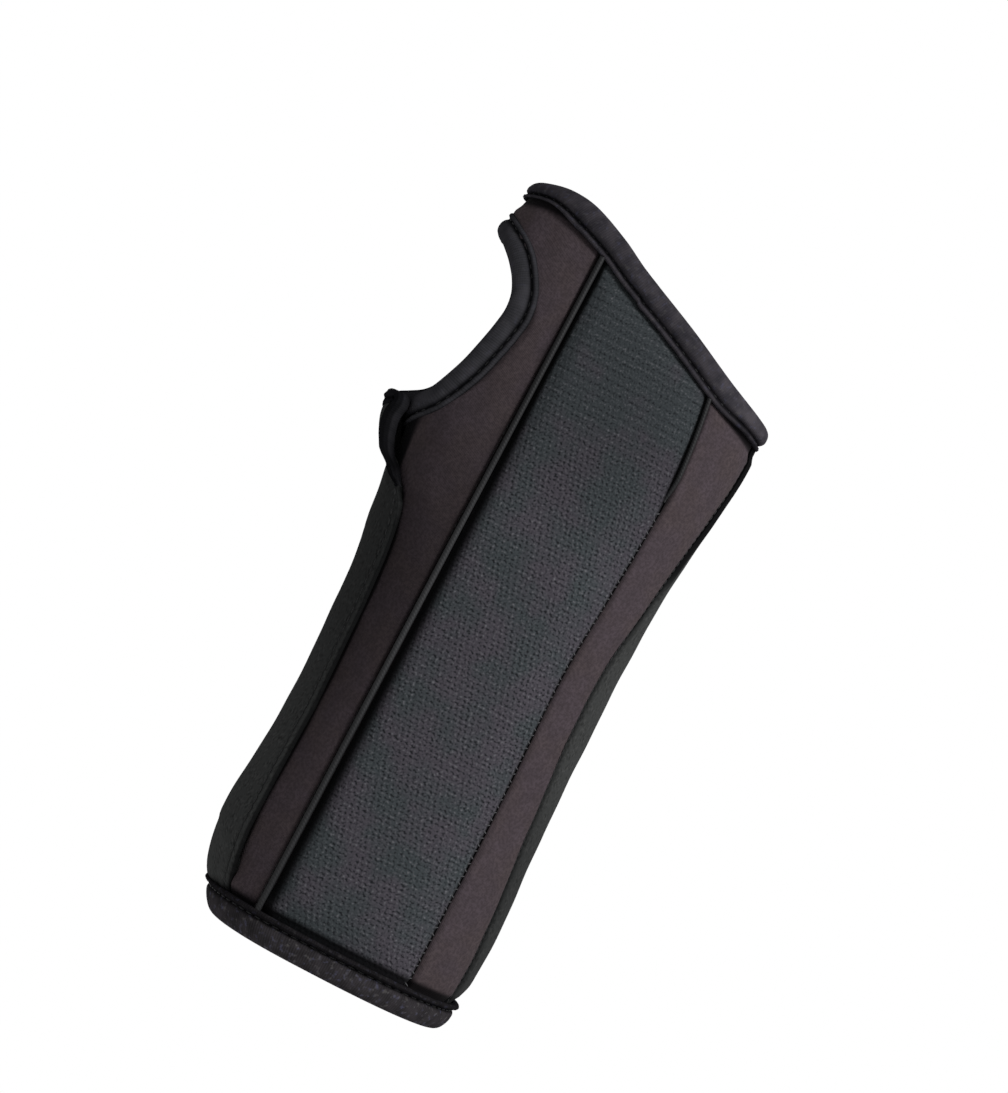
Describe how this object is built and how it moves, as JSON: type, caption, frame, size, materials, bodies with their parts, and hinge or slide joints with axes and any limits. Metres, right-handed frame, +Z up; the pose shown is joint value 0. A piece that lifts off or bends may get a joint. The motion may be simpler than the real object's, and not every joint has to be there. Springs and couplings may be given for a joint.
{
  "type": "wrist brace",
  "caption": "Open neoprene and knit sleeve for a left wrist, with bound hems, a bound thumb hole, a piped palm panel and a closing flap that laps over the thumb side.",
  "frame": {"origin": "middle of the hollow at the wrist, where the wearer's wrist holds the brace", "axes": "+Z up the arm towards the fingers, +X towards the little finger, palm side facing -Y"},
  "size_m": [0.0929, 0.0646, 0.2059],
  "materials": {
    "palm_knit": "fine grid knit, charcoal",
    "neoprene": "smooth knit face, warm black",
    "brushed_back": "brushed loop, black",
    "binding": "folded stretch tape, dark grey",
    "piping": "ribbed piping, dark grey"
  },
  "bodies": {
    "root": {"palm_panel": "palm_knit", "thumb_side_panel": "neoprene", "little_finger_side_panel": "neoprene", "back_flap": "brushed_back", "hand_hem_binding": "binding", "forearm_hem_binding": "binding", "thumb_hole_binding": "binding", "flap_edge_binding": "binding", "panel_piping": "piping", "panel_edge_welt": "piping"}
  },
  "joints": []
}
